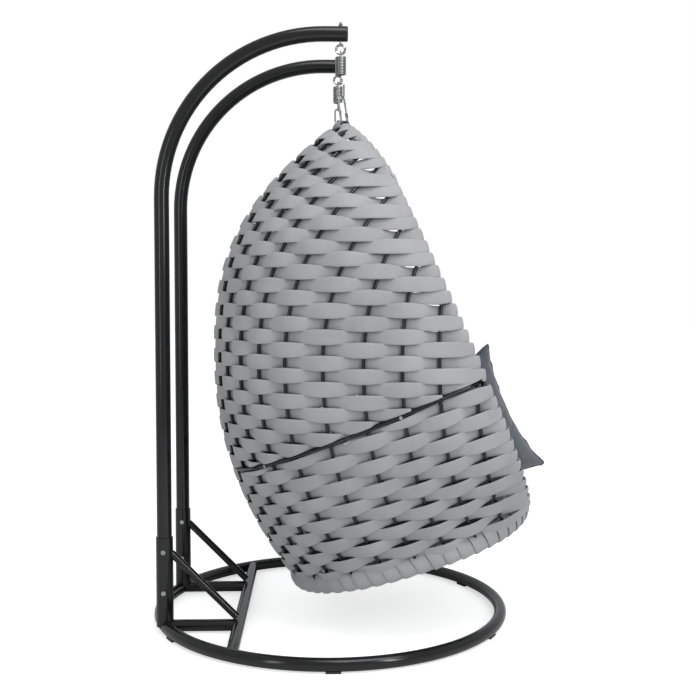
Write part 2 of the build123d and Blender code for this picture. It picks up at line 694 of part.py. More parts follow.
def row(name, lines, number, from_split=False):
    """The straps of one row: one right round the back, or one each side, started at a rib."""
    ribs, edge_line = rib_lines[name], rim_line if name == "upper_ribs" else lower_rim_line
    rib_swing = RIB_R + STRAP_T / 2 + STRAP_GAP
    crossings = []
    for line in lines:
        front = cut_point(edge_line, line)
        if name == "upper_ribs" and line[0] < split_rim_z + CLEAR_OF_SPLIT:
            s = SPLIT_S + (line[0] - CLEAR_OF_SPLIT - SPLIT_Z) / SPLIT_SLOPE
            front = (width_at(s, line[0]), s, line[0])
        points = [cut_point(ribs[d], line) for d in RIB_OFFSETS if d in ribs]
        crossings.append((line, front, points))
    first, woven, crossed = 0, len(RIB_OFFSETS), 0
    for line, front, points in crossings:
        runs = [hypot(front[0] - p[0], front[1] - p[1]) if p[1] < front[1] else 0 for p in points]
        woven = min(woven, sum(1 for run in runs if run > END_RUN))
        crossed = max(crossed, sum(1 for p in points if p[1] < front[1] - RIB_R))
        if from_split:
            first = max(first, sum(1 for p in points if p[2] > split_z(p[1]) - CLEAR_OF_SPLIT - 6))
    if woven - first < 2:
        return []
    straps = []
    for sides in ((-1,), (1,)) if from_split else ((-1, 1),):
        courses = []
        for line, front, points in crossings:
            if name == "lower_ribs" or line[0] >= split_rim_z + CLEAR_OF_SPLIT:
                front = rim_end(edge_line, line, points[woven - 1])
            course = []
            for side in sides:
                turns = [1 if (j + number + (side > 0)) % 2 else -1 for j in range(woven + 1)]
                half = [(side, *points[j], turns[j] * rib_swing) for j in range(first, woven)]
                for j in range(woven, crossed):
                    s = min(points[j][1], front[1] - 2 * (crossed - j))
                    z = line[0] + line[1] * s
                    half.append((side, width_at(s, z), s, z, turns[woven] * rib_swing))
                half.append((side, *front, turns[woven] * rib_swing * (crossed > woven)))
                if from_split:
                    s = points[first][1] - END_RUN / 2
                    z = line[0] + line[1] * s
                    half.insert(0, (side, width_at(s, z), s, z, turns[first] * rib_swing))
                course += half[::-1] if side < 0 else half
            courses.append(course)
        close_ribs = rib_parts[name]
        if lines[0][0] < CROWDED_Z:
            close_ribs = close_ribs[2 * woven - 2:2 * crossed + 2]
        straps.append(cut_by(strap(lines, courses), *close_ribs))
    return straps


upper_weave, lower_weave = [], []
z, number = SPLIT_Z + CLEAR_OF_SPLIT, 0
while z < CREST_Z - CREST_CLEAR:
    step = ROW_PITCH / hypot(1, (back(z + 15) - back(z)) / 15)
    margin = (ROW_PITCH - STRAP_H) / 2
    upper_weave += row("upper_ribs", ((z + margin, 0.0), (z + step - margin, 0.0)), number)
    z += step
    number += 1


z, number = LOW_Z + 13, 1
while True:
    margin = (ROW_PITCH - STRAP_H) / 2
    heights = (z + margin, z + ROW_PITCH - margin)
    lines = tuple((h - LOWER_SLOPE * LOW_S, LOWER_SLOPE) for h in heights)
    top_at_back = lines[1][0] + LOWER_SLOPE * SPLIT_S
    whole = top_at_back < SPLIT_Z - 10
    straps = row("lower_ribs", lines, number, from_split=not whole)
    if not straps:
        break
    lower_weave += straps
    z += ROW_PITCH
    number += 1
keep(Compound(children=upper_weave), "upper_weave")
keep(Compound(children=lower_weave), "lower_weave")

floor_weave = []
for index in range(FLOOR_STRAPS):
    x = (index - (FLOOR_STRAPS - 1) / 2) * FLOOR_STRAP_PITCH
    reach = floor_share * (1 - (abs(x) / WIDE_LOW) ** SECTION_POWER) ** (1 / SECTION_POWER)
    length = rim(LOW_Z + LOW_RISE) - LOW_S
    s0, s1 = (LOW_S + (floor_share + e * reach) * length for e in (-1, 1))
    turn = 1 if index % 2 else -1
    end_swing, bar_swing = RIM_R + STRAP_T / 2 + STRAP_GAP, RIB_R + 0.5 + STRAP_T / 2 + STRAP_GAP
    course = [(s0, end_swing * turn), (s0 + END_RUN, end_swing * turn)]
    course += [(s, bar_swing * turn * (1 if k % 2 else -1)) for k, s in enumerate(FLOOR_BARS)]
    course += [(s1 - END_RUN, end_swing * turn), (s1, end_swing * turn)]
    outline = []
    for shift in (STRAP_T / 2, -STRAP_T / 2):
        side_view = [(RING_Y - s, bottom_z(s) + (out + shift) * floor_lean) for s, out in course]
        outline += side_view if shift > 0 else side_view[::-1]
    with BuildPart() as floor_strap:
        with BuildSketch(Plane.YZ.offset(x - FLOOR_STRAP_W / 2)):
            with BuildLine():
                Polyline(*outline, close=True)
            make_face()
        extrude(amount=FLOOR_STRAP_W)
    floor_weave.append(floor_strap.part)
keep(Compound(children=floor_weave), "floor_weave")


# ---- cushions ---------------------------------------------------------------------------

seat_plane = Plane(
    origin=place(0, SEAT_S, bottom_z(SEAT_S)), x_dir=(1, 0, 0), z_dir=(0, LOWER_SLOPE, 1))
with BuildPart() as seat_cushion:
    for lift, inset in ((0, SEAT_EDGE), (SEAT_EDGE, 0), (SEAT_T - SEAT_EDGE, 0), (SEAT_T, SEAT_EDGE)):
        points = []
        for k in range(24):
            turn = 2 * pi * (k + 0.5) / 24
            points.append((
                (SEAT_HALF_X - inset) * copysign(abs(cos(turn)) ** 0.85, cos(turn)),
                (SEAT_HALF_Y - inset) * copysign(abs(sin(turn)) ** 0.85, sin(turn))))
        with BuildSketch(seat_plane.offset(SEAT_LIFT + lift)):
            with BuildLine():
                Polyline(*points, close=True)
            make_face()
    loft(ruled=True)
keep(seat_cushion.part, "seat_cushion")

with BuildPart() as back_cushion:
    for height, slope, reach, thick in BACK_CUSHION:
        line = (height - slope * back(height), slope)
        outer, inner = [], []
        for side in (-1, 1):
            for k in range(5) if side > 0 else range(4, 0, -1):
                s = back(height) + 1 + reach * (k / 4) ** 2
                z = line[0] + slope * s
                x = width_at(s, z) if k else 0.0
                n = normal(x, s, z)
                flat = hypot(n[0], n[1])
                for edge, out in ((outer, -BACK_GAP), (inner, -BACK_GAP - thick * (1 - 0.6 * (k / 4) ** 2))):
                    px = side * (x + out * n[0] / flat**2) if k else 0.0
                    ps = s + out * n[1] / flat**2
                    edge.append(place(px, ps, line[0] + slope * ps))
        plane = Plane(
            origin=place(0, 0, line[0]), x_dir=(1, 0, 0), z_dir=Vector(0, slope, 1).normalized())
        flat_points = [plane.to_local_coords(Vector(*p)) for p in outer + inner[::-1]]
        with BuildSketch(plane):
            with BuildLine():
                Polyline(*[(v.X, v.Y) for v in flat_points], close=True)
            make_face()
    loft(ruled=True)
keep(back_cushion.part, "back_cushion")

for side, sign in SIDES.items():
    yaw, tip = radians(PILLOW_YAW), radians(PILLOW_TIP)
    forward = Vector(-sign * sin(yaw), -cos(yaw), 0)
    edge_dir = forward * sin(tip) - Vector(0, 0, cos(tip))
    plane = Plane(
        origin=place(sign * PILLOW_X, *PILLOW_CENTRE), x_dir=edge_dir, z_dir=forward.cross(Vector(0, 0, 1)))
    with BuildPart() as pillow:
        for shift, size in ((-PILLOW_T / 2, 0.62), (0.0, 1.0), (PILLOW_T / 2, 0.62)):
            with BuildSketch(plane.offset(shift)):
                Rectangle(PILLOW_SIZE * size, PILLOW_SIZE * size)
        loft(ruled=True)
    keep(pillow.part, f"{side}_pillow")

os.makedirs("parts", exist_ok=True)
for label, piece in nodes.items():
    export_step(piece, f"parts/{label}.step")
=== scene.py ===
import json
from math import cos, exp, hypot, pi, radians, sin, sqrt

import bmesh
import bpy
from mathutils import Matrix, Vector, noise


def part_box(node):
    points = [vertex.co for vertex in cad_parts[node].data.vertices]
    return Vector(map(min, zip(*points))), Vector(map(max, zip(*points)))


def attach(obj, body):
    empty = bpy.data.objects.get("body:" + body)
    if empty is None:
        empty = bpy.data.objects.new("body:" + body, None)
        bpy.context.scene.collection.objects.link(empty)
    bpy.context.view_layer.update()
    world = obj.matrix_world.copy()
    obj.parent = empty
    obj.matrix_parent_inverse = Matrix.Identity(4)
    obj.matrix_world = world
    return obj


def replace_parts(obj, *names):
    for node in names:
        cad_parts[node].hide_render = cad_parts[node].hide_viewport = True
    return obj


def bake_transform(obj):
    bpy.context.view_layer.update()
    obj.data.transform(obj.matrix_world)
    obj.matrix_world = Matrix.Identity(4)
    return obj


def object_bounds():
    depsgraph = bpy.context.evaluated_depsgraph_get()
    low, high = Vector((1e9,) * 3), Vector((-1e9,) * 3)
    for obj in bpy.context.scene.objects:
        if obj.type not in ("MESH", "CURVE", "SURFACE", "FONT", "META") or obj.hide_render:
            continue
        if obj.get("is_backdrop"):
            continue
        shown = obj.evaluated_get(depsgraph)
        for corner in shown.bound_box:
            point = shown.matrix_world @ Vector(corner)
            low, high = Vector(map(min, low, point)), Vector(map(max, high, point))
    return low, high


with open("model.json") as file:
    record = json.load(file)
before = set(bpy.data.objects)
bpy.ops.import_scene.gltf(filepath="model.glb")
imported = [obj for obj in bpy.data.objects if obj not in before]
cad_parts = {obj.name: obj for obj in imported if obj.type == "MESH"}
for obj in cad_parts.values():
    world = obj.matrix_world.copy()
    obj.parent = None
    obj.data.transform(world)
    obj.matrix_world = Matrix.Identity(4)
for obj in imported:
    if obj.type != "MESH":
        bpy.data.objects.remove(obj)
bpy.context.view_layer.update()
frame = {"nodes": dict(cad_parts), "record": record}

# ---- stand ---------------------------------------------------------------------------------
# Steel tube ring, stubs, sockets, bent arms and braces, welded or bolted and powder coated
# black. Their shapes are the frame's own, so they only get their finish here.


def new_material(name):
    """An empty node material with its nodes, links and shader."""
    mat = bpy.data.materials.new(name)
    mat.use_nodes = True
    return mat, mat.node_tree.nodes, mat.node_tree.links, mat.node_tree.nodes["Principled BSDF"]


def noise_node(nodes, links, vector, scale, detail=4.0, rough=0.5):
    tex = nodes.new("ShaderNodeTexNoise")
    tex.inputs["Scale"].default_value = scale
    tex.inputs["Detail"].default_value = detail
    tex.inputs["Roughness"].default_value = rough
    links.new(vector, tex.inputs["Vector"])
    return tex.outputs["Fac"]


def ramp_node(nodes, links, value, *stops):
    """Colour from a value, by stops of (position, rgb)."""
    ramp = nodes.new("ShaderNodeValToRGB")
    for element, (position, rgb) in zip(ramp.color_ramp.elements, stops):
        element.position = position
        element.color = (*rgb, 1)
    links.new(value, ramp.inputs["Fac"])
    return ramp.outputs["Color"]


def bump_node(nodes, links, height, strength, distance, below=None):
    bump = nodes.new("ShaderNodeBump")
    bump.inputs["Strength"].default_value = strength
    bump.inputs["Distance"].default_value = distance
    links.new(height, bump.inputs["Height"])
    if below:
        links.new(below, bump.inputs["Normal"])
    return bump.outputs["Normal"]


def coating(name, rgb, rough, grain, metallic=0.0):
    """Powder coat, plating or moulded plastic: faint clouds, fine bump and uneven gloss."""
    mat, nodes, links, shader = new_material(name)
    coords = nodes.new("ShaderNodeTexCoord").outputs["Object"]
    cloud = noise_node(nodes, links, coords, 9.0)
    fine = noise_node(nodes, links, coords, grain, 2.0)
    dark, light = [c * 0.82 for c in rgb], [c * 1.15 for c in rgb]
    tone = ramp_node(nodes, links, cloud, (0.3, dark), (0.7, light))
    links.new(tone, shader.inputs["Base Color"])
    gloss = nodes.new("ShaderNodeMapRange")
    gloss.inputs["To Min"].default_value = rough * 0.8
    gloss.inputs["To Max"].default_value = rough * 1.25
    links.new(cloud, gloss.inputs["Value"])
    links.new(gloss.outputs["Result"], shader.inputs["Roughness"])
    links.new(bump_node(nodes, links, fine, 0.12, 0.0004), shader.inputs["Normal"])
    shader.inputs["Metallic"].default_value = metallic
    return mat


finishes = {}


def finish(slot, material):
    """Keeps a slot's material and gives it to every frame node that has the slot."""
    finishes[slot] = material
    for part in frame["record"]["subparts"]:
        if part["material_slot"] == slot:
            mesh = frame["nodes"][part["node"]].data
            mesh.materials.clear()
            mesh.materials.append(material)


finish("black_frame", coating("powder_black", (0.005, 0.005, 0.0055), 0.15, 900.0))
finish("black_plastic", coating("moulded_black", (0.016, 0.016, 0.017), 0.45, 700.0))

# ---- hanging gear --------------------------------------------------------------------------
# Zinc plated eye bolts, extension springs, links and snap hooks with hinged gates, and the
# bolts of the sockets. All but the springs are the frame's own shapes. A spring is hard-drawn
# wire, its top fast to the hanger and its foot to the gear below, and it stretches between.

finish("bright_steel", coating("bright_zinc", (0.36, 0.36, 0.37), 0.12, 500.0, 1.0))


def sweep(bm, stations, outline, uv_layer=None, shift=0.0):
    """Bends a grid round stations of (point, across, outwards, fullness) with an outline.

    A full station rounds the outline off towards its edges. A closed run repeats its first
    station. The strip map runs along the member in u and across it in v, in metres.
    """
    count = len(stations)
    runs = [shift]
    for before, after in zip(stations, stations[1:]):
        runs.append(runs[-1] + (after[0] - before[0]).length)
    verts = bmesh.ops.create_grid(bm, x_segments=count - 1, y_segments=len(outline), size=1)["verts"]
    spots = {}
    for index, vert in enumerate(verts):
        point, across, outwards, full = stations[index % count]
        u, v = outline[index // count % len(outline)]
        crown = 1 - full * (1 - sqrt(max(1 - u * u, 0.0)))
        vert.co = point + across * u + outwards * (v * crown)
        spots[vert] = (runs[index % count], u * across.length)
    if uv_layer:
        for face in {face for vert in verts for face in vert.link_faces}:
            for loop in face.loops:
                loop[uv_layer].uv = spots[loop.vert]


def rod(bm, points, radius, sides=12, closed=False):
    """Adds a round rod along a path."""
    circle = [(cos(2 * pi * k / sides), sin(2 * pi * k / sides)) for k in range(sides)]
    last = len(points) - 1
    stations, side = [], None
    for i, point in enumerate(points):
        before = points[i - 1] if closed or i else point
        after = points[(i + 1) % len(points)] if closed or i < last else point
        along = (after - before).normalized()
        side = side - along * side.dot(along) if side else along.orthogonal()
        side.normalize()
        stations.append((point, side * radius, along.cross(side) * radius, 0.0))
    sweep(bm, stations + stations[:1] if closed else stations, circle)


def piece(name, bm, slot, body="basket"):
    """Closes a swept mesh and makes it a smooth piece with a slot's finish on a body."""
    bmesh.ops.remove_doubles(bm, verts=bm.verts, dist=0.000002)
    bmesh.ops.holes_fill(bm, edges=bm.edges, sides=0)
    bmesh.ops.recalc_face_normals(bm, faces=bm.faces)
    for face in bm.faces:
        face.smooth = True
    mesh = bpy.data.meshes.new(name)
    bm.to_mesh(mesh)
    bm.free()
    obj = bpy.data.objects.new(name, mesh)
    bpy.context.collection.objects.link(obj)
    mesh.materials.append(finishes[slot])
    if body:
        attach(obj, body)
    return obj


SPRING_TOP, SPRING_TURNS, SPRING_PITCH, SPRING_R = 1.854, 12, 0.0052, 0.0155
COIL_WIRE_R, HOOK_WIRE_R, OVAL_R = 0.0022, 0.0025, 0.0095
spring_foot = SPRING_TOP - SPRING_TURNS * SPRING_PITCH
# Height of each end loop's middle, and half the length of its straight sides
OVALS = ((SPRING_TOP + 0.003, 0.0015), (spring_foot - 0.01, 0.0065))

for side in ("left", "right"):
    low, high = (Vector(corner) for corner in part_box(f"{side}_spring"))
    x, y = (low.x + high.x) / 2, (low.y + high.y) / 2
    bm = bmesh.new()
    coil = []
    for step in range(24 * SPRING_TURNS + 1):
        turn, share = 2 * pi * step / 24, step / (24 * SPRING_TURNS)
        height = HOOK_WIRE_R + (SPRING_TOP - spring_foot - 2 * HOOK_WIRE_R) * share
        coil.append(Vector((x + SPRING_R * cos(turn), y + SPRING_R * sin(turn), spring_foot + height)))
    rod(bm, coil, COIL_WIRE_R, 8)
    for height, straight in OVALS:
        oval = []
        for step in range(32):
            turn = 2 * pi * (step + 0.5) / 32
            reach = straight if sin(turn) > 0 else -straight
            oval.append(Vector((x + OVAL_R * cos(turn), y, height + reach + OVAL_R * sin(turn))))
        rod(bm, oval, HOOK_WIRE_R, 8, True)
    spring = piece(f"{side}_coil_spring", bm, "bright_steel", None)
    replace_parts(spring, f"{side}_spring")
    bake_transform(spring)

# ---- basket frame --------------------------------------------------------------------------
# Bent and welded rods: front rims, bottom ring, ribs and the two split tubes that are bolted
# on each other. All lie in one egg-shaped surface, whose lengths here are in millimetres
# from the base ring's centre: x across, s forward, z up.

BACK_S, BACK_Z = -382.0, 900.0
CREST_S, CREST_Z = 20.0, 1645.0
LOW_S, LOW_Z = -118.0, 145.0
BACK_POWER_ABOVE, BACK_POWER_BELOW = 2.65, 2.2
RIM_S, RIM_Z, RIM_SLOPE = 205.0, 1374.0, 0.445
RIM_BEND_Z, RIM_BEND = 1420.0, 0.00119  # height from which the rim is drawn back, and how fast
LOW_RISE, RISE_POWER = 235.0, 1.5
MIDDLE_SHARE, MIDDLE_DROP, MIDDLE_POWER = 0.68, 0.175, 1.3
WIDE, WIDE_Z, WIDE_LOW = 560.0, 880.0, 400.0
CROWN_POWER = 0.2866
POWER = 2.3  # of the super-ellipse sections
SPLIT_S, SPLIT_Z, SPLIT_SLOPE = -317.0, 525.0, 0.42
RIB_OFFSETS = (2.0, 20.0, 52.0, 100.0, 160.0, 240.0, 352.0, 470.0, 582.0, 692.0, 805.0)
SHORTEST_RIB = 80.0
FAN, FAN_POWER, FAN_HEIGHT, FAN_REACH = 0.28, 1.5, 400.0, 700.0  # how ribs spread upwards
RIB_R, RIM_R, SPLIT_TUBE_R = 0.0055, 0.008, 0.005
SPLIT_TUBE_OUT = 0.00515  # each split tube's middle from the surface

ring_low, ring_high = (Vector(corner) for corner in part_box("base_ring"))
RING_Y = (ring_low.y + ring_high.y) / 2


def place(x, s, z):
    return Vector((x / 1000, RING_Y - s / 1000, z / 1000))


def low_share(z):
    return min(max((BACK_Z - z) / (BACK_Z - LOW_Z), 0.0), 1.2)


def back(z):
    """Forward station of the back profile at height z."""
    if z > BACK_Z:
        return BACK_S + (CREST_S - BACK_S) * min((z - BACK_Z) / (CREST_Z - BACK_Z), 1.0) ** BACK_POWER_ABOVE
    return BACK_S + (LOW_S - BACK_S) * low_share(z) ** BACK_POWER_BELOW


def rim(z):
    """Forward station of the front rim: a straight lean, drawn back at the top."""
    return RIM_S - RIM_SLOPE * (z - RIM_Z) - RIM_BEND * max(z - RIM_BEND_Z, 0.0) ** 2


def rise(z):
    """How much higher a section meets the rim than it meets the back profile."""
    return LOW_RISE * low_share(z) ** RISE_POWER


def centre_share(z):
    """Where along a section, from back to rim, it is widest."""
    return MIDDLE_SHARE - MIDDLE_DROP * low_share(z) ** MIDDLE_POWER


def half_width(z):
    if z > WIDE_Z:
        return WIDE * (1 - min((z - WIDE_Z) / (CREST_Z - WIDE_Z), 0.99999) ** 2) ** CROWN_POWER
    return WIDE - (WIDE - WIDE_LOW) * min((WIDE_Z - z) / (WIDE_Z - LOW_Z), 1.1) ** 2


def section_at(s, z):
    """Height of the section through side-view point s, z, and the share from its middle."""
    h = z
    for _ in range(12):
        h = z - rise(h) * (s - back(h)) / (rim(h + rise(h)) - back(h))
    k = centre_share(h)
    along = ((s - back(h)) / (rim(h + rise(h)) - back(h)) - k) / k
    return h, abs(along)


def level(x, s, z):
    h, along = section_at(s, z)
    return along**POWER + abs(x / half_width(h)) ** POWER - 1


def width_at(s, z):
    h, along = section_at(s, z)
    return half_width(h) * (1 - min(along, 1.0) ** POWER) ** (1 / POWER)


def normal(x, s, z):
    """Outward normal; a point just beside the middle stands for one on it."""
    e = 0.5
    x = x if abs(x) > 2 * e else 2 * e
    return Vector((
        level(x + e, s, z) - level(x - e, s, z),
        level(x, s - e, z) - level(x, s + e, z),
        level(x, s, z + e) - level(x, s, z - e))).normalized()


def mirrored(vector):
    return Vector((-vector.x, vector.y, vector.z))


def solve(gap, low, high):
    """Where gap changes sign between low and high."""
    positive = gap(low) > 0
    for _ in range(45):
        mid = (low + high) / 2
        if (gap(mid) > 0) == positive:
            low = mid
        else:
            high = mid
    return (low + high) / 2


def rib_station(offset, z):
    climb = FAN * max(z - BACK_Z, 0.0) ** FAN_POWER / FAN_HEIGHT**FAN_POWER
    return back(z) + offset * (1 + climb * max(0.0, 1 - offset / FAN_REACH))


def split_z(s):
    return SPLIT_Z + SPLIT_SLOPE * (s - SPLIT_S)


LOWER_SLOPE = LOW_RISE / (rim(LOW_Z + LOW_RISE) - LOW_S)


def bottom_z(s):
    return LOW_Z + LOWER_SLOPE * (s - LOW_S)


def tubes(name, paths, radius, slot, sides=12, closed=False):
    """Round rods or cords along paths, as one piece of the basket."""
    bm = bmesh.new()
    for points in paths:
        rod(bm, points, radius, sides, closed)
    return piece(name, bm, slot)


SPLIT_RIM_Z = solve(lambda z: z - split_z(rim(z)), 500, 1200)
SHOULDER_X = 395.0  # up to here the rim is laid out by width, and below by height

rim_line = [(0.0, rim(CREST_Z), CREST_Z)]
for step in range(1, 14):
    x = SHOULDER_X * step / 13
    z = solve(lambda z: width_at(rim(z), z) - x, WIDE_Z, CREST_Z - 0.01)
    rim_line.append((x, rim(z), z))
shoulder_z = rim_line[-1][2]
for step in range(1, 15):
    z = shoulder_z + (SPLIT_RIM_Z - shoulder_z) * step / 14
    rim_line.append((width_at(rim(z), z), rim(z), z))

section_at_split = section_at(rim(SPLIT_RIM_Z), SPLIT_RIM_Z)[0]
lower_rim_line = []
for step in range(21):
    h = section_at_split + (LOW_Z - section_at_split) * (1 - (1 - step / 20) ** 1.6)
    k = centre_share(h)
    x = half_width(h) * (1 - ((1 - k) / k) ** POWER) ** (1 / POWER)
    lower_rim_line.append((x, rim(h + rise(h)), h + rise(h)))

left_rim = [place(-x, s, z) for x, s, z in reversed(rim_line[1:])]
right_rim = [place(x, s, z) for x, s, z in rim_line[1:]]
upper_rim = tubes("upper_rim_tube", [left_rim + right_rim], RIM_R, "black_frame", 14)
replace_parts(upper_rim, "upper_rim")
lower_paths = [[place(sign * x, s, z) for x, s, z in lower_rim_line] for sign in (-1, 1)]
lower_rims = tubes("lower_rim_tubes", lower_paths, RIM_R, "black_frame", 14)
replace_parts(lower_rims, "lower_rims")

floor_share = centre_share(LOW_Z)
floor_length = rim(LOW_Z + LOW_RISE) - LOW_S


def ring_point(turn):
    """Point of the bottom ring, in millimetres."""
    share = floor_share * (1 - cos(turn))
    x = WIDE_LOW * (1 - abs(cos(turn)) ** POWER) ** (1 / POWER)
    return (x if sin(turn) >= 0 else -x), LOW_S + share * floor_length, LOW_Z + share * LOW_RISE


ring_path = [place(*ring_point(2 * pi * (k + 0.5) / 120)) for k in range(120)]
bottom_ring = tubes("bottom_ring_tube", [ring_path], RIM_R, "black_frame", 14, True)
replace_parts(bottom_ring, "bottom_ring")

rib_lines = {"upper": [], "lower": []}
for offset in RIB_OFFSETS:
    z_split = solve(lambda z: z - split_z(rib_station(offset, z)), 300, 1200)
    z_low = solve(lambda z: z - bottom_z(rib_station(offset, z)), 0, 800)
    z_high = solve(lambda z: rim(z) - rib_station(offset, z), z_split, CREST_Z - 1)
    for half, z0, z1, crowd in (("upper", z_split, z_high, 1.35), ("lower", z_low, z_split, 1.0)):
        if z1 - z0 < SHORTEST_RIB:
            rib_lines[half].append(None)
            continue
        line = []
        for step in range(25):
            z = z0 + (z1 - z0) * (1 - (1 - step / 24) ** crowd)
            s = rib_station(offset, z)
            line.append((width_at(s, z), s, z))
        rib_lines[half].append(line)
for half, lines in rib_lines.items():
    paths = [[place(sign * x, s, z) for x, s, z in line] for line in lines if line for sign in (-1, 1)]
    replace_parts(tubes(f"{half}_rib_rods", paths, RIB_R, "black_frame", 10), f"{half}_ribs")

split_start = SPLIT_S + 1
split_length = rim(SPLIT_RIM_Z) - SPLIT_S - 8
split_line = [(0.0, split_start, split_z(split_start))]
for step in range(1, 41):
    s = split_start + split_length * (step / 40) ** 2
    split_line.append((width_at(s, split_z(s)), s, split_z(s)))
for name, out in (("upper_joint_tube", SPLIT_TUBE_OUT), ("lower_joint_tube", -SPLIT_TUBE_OUT)):
    right_half = [place(*spot) + normal(*spot) * out for spot in split_line]
    right_half[0].x = 0.0
    path = [mirrored(point) for point in reversed(right_half[1:])] + right_half
    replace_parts(tubes(f"{name}_rod", [path], SPLIT_TUBE_R, "black_frame"), name)

# ---- weave ---------------------------------------------------------------------------------
# Flat foam-filled straps in grey woven sleeve. Each goes over one rib and under the next. It
# stands at its full height over a rib, is drawn in where it dives behind one, and turns round
# the front rim at its ends. Next to the split tubes it is cut along them.

THIN, FULL = 0.003, 0.45
OVER_HALF, UNDER_HALF = 0.0232, 0.0168
OVER = RIB_R + THIN + 0.0018
RIM_HALF, RIM_THIN, RIM_FULL = 0.0195, 0.0048, 0.9
RIM_RUN_OUT = 30.0  # length over which a strap rises to go round the rim
SPLIT_CLEAR = 0.0075
PAST_SPLIT = 8  # how far a row's middle runs on past the split tubes, downwards or upwards
FRONT_ROOM, SPLIT_ROOM = 14, 10  # from a strap's end to the first rib that it passes
SHORTEST_ROW = 30
ROW_PITCH = 38.0
ROLL_FROM = 1452.0  # height from which the front rim carries its own wound roll
TAIL = 0.022  # of a strap, tucked in behind the rim
THREAD_SHIFT = 0.37  # between the sleeves of neighbouring straps, in metres
# Half outline of a strap as shares of its half height and half thickness
STRAP_EDGE = ((1.0, 0.0), (0.985, 0.55), (0.92, 0.88), (0.7, 0.97), (0.35, 1.0))


def strap_material():
    """Woven sleeve: fine threads both ways, with soft patches and streaks of tone."""
    mat, nodes, links, shader = new_material("grey_strap")
    uv = nodes.new("ShaderNodeTexCoord").outputs["UV"]
    coords = nodes.new("ShaderNodeTexCoord").outputs["Object"]
    waves = []
    for direction, scale, distortion in (("X", 150.0, 0.8), ("Y", 190.0, 0.4)):
        wave = nodes.new("ShaderNodeTexWave")
        wave.bands_direction = direction
        wave.inputs["Scale"].default_value = scale
        wave.inputs["Distortion"].default_value = distortion
        links.new(uv, wave.inputs["Vector"])
        waves.append(wave.outputs["Fac"])
    patch = noise_node(nodes, links, coords, 5.0, 3.0)
    streak = noise_node(nodes, links, uv, 14.0, 3.0)
    mix = nodes.new("ShaderNodeMath")
    mix.operation = "MULTIPLY_ADD"
    mix.inputs[1].default_value = 0.45
    links.new(streak, mix.inputs[0])
    links.new(patch, mix.inputs[2])
    tone = ramp_node(
        nodes, links, mix.outputs["Value"], (0.45, (0.315, 0.318, 0.335)), (0.95, (0.40, 0.402, 0.418)))
    links.new(tone, shader.inputs["Base Color"])
    shader.inputs["Roughness"].default_value = 0.72
    shader.inputs["Specular IOR Level"].default_value = 0.35
    shader.inputs["Sheen Weight"].default_value = 0.15
    across = bump_node(nodes, links, waves[0], 0.18, 0.0003)
    links.new(bump_node(nodes, links, waves[1], 0.3, 0.0004, across), shader.inputs["Normal"])
    return mat


finish("wicker_strap", strap_material())
STRAP_SECTION = list(STRAP_EDGE)
STRAP_SECTION += [(-u, v) for u, v in reversed(STRAP_EDGE[1:])] + [(-1.0, 0.0)]
STRAP_SECTION += [(-u, -v) for u, v in STRAP_EDGE[1:]] + [(u, -v) for u, v in reversed(STRAP_EDGE[1:])]


def woven(name, straps, node):
    """Makes a node's straps from samples of (point, width direction, half, thin, fullness)."""
    bm = bmesh.new()
    uv_layer = bm.loops.layers.uv.new("UVMap")
    for number, samples in enumerate(straps):
        last = len(samples) - 1
        stations = []
        for i, (point, width, half, thin, full) in enumerate(samples):
            along = (samples[min(i + 1, last)][0] - samples[max(i - 1, 0)][0]).normalized()
            width = (width - along * width.dot(along)).normalized()
            stations.append((point, width * half, along.cross(width) * thin, full))
        sweep(bm, stations, STRAP_SECTION, uv_layer, number * THREAD_SHIFT)
    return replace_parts(piece(name, bm, "wicker_strap"), node)


def crossing(line, plane):
    """Forward station where a member meets the row's plane z = a + m*s."""
    gaps = [z - plane[0] - plane[1] * s for x, s, z in line]
    for k in range(len(line) - 1):
        if gaps[k] * gaps[k + 1] <= 0 and gaps[k] != gaps[k + 1]:
            share = gaps[k] / (gaps[k] - gaps[k + 1])
            return line[k][1] + (line[k + 1][1] - line[k][1]) * share
    return None


def row_frame(plane, s, side):
    """Point, outward normal and width direction of a row at a forward station."""
    z = plane[0] + plane[1] * s
    x = width_at(s, z)
    out = normal(x, s, z)
    out.x *= side
    if x < 3:
        along = Vector((1.0, 0.0, 0.0))
    else:
        along = Vector((side * (width_at(s + 1.0, z + plane[1]) - x), -1.0, plane[1]))
    width = out.cross(along).normalized()
    return place(side * x, s, z), out, width if width.z > 0 else -width


def row_sample(half, plane, s, side, swing, rim_share=0.0):
    """One sample of a row's strap, cut back where the split tubes are in its way."""
    point, out, width = row_frame(plane, s, side)
    body = UNDER_HALF + (OVER_HALF - UNDER_HALF) * (swing + 1) / 2
    body += (RIM_HALF - body) * rim_share
    gap = (plane[0] + plane[1] * s - split_z(s)) / 1000
    up, down = body, body
    if half == "upper":
        down = min(down, gap - SPLIT_CLEAR)
    else:
        up = min(up, -gap - SPLIT_CLEAR)
    reach = OVER + (RIM_R + RIM_THIN - OVER) * rim_share
    thin = THIN + (RIM_THIN - THIN) * rim_share
    centre = point + width * ((up - down) / 2) + out * (swing * reach)
    return centre, width, max((up + down) / 2, 0.001), thin, FULL


def swung(knots, at, steps=9):
    """Samples between knots of (station, swing), with an eased swing from each to the next."""
    samples = []
    for (s0, swing0), (s1, swing1) in zip(knots, knots[1:]):
        for k in range(steps + (s1 == knots[-1][0])):
            ease = 0.5 - 0.5 * cos(pi * k / steps)
            samples.append(at(s0, s1, k / steps, swing0 + (swing1 - swing0) * ease))
    return samples


